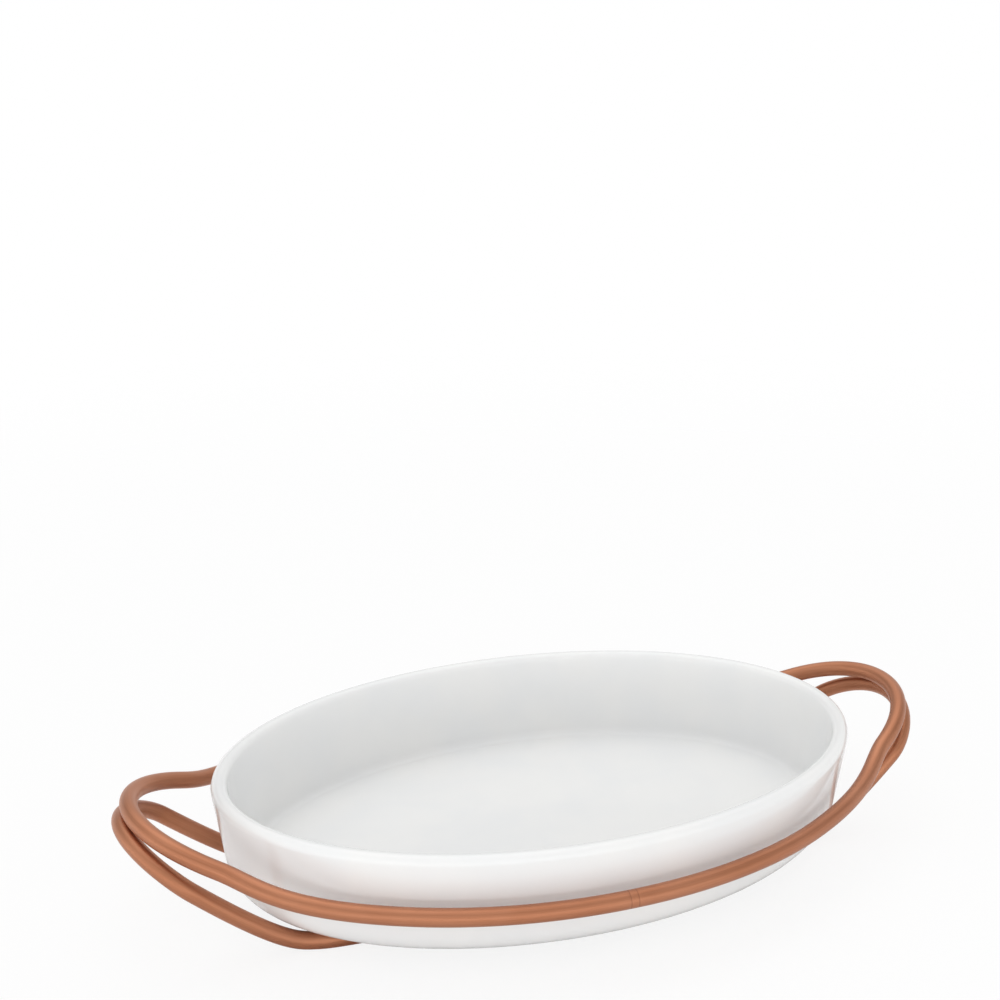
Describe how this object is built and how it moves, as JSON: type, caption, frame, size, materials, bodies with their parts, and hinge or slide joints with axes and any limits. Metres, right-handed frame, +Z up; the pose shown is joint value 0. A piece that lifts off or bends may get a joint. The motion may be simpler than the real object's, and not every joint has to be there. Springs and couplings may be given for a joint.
{
  "type": "oval serving dish",
  "caption": "Oval white porcelain serving dish that stands loosely in a copper-coloured bent-rod holder with a raised handle at each end.",
  "frame": {"origin": "on the table, under the middle of the dish", "axes": "+X along the dish from handle to handle, +Y across it, +Z up"},
  "size_m": [0.4602, 0.2676, 0.0729],
  "materials": {
    "porcelain": "white gloss glaze",
    "copper_rod": "satin copper-coloured coat on round steel rod"
  },
  "bodies": {
    "holder": {"upper_rail": "copper_rod", "lower_rail": "copper_rod", "right_handle_weld": "copper_rod", "left_handle_weld": "copper_rod"},
    "dish": {"porcelain_dish": "porcelain"}
  },
  "joints": [
    {"name": "dish_lift", "type": "slide", "parent": "holder", "child": "dish", "axis": [0, 0, 1], "range_m": [0, 0.08]}
  ]
}
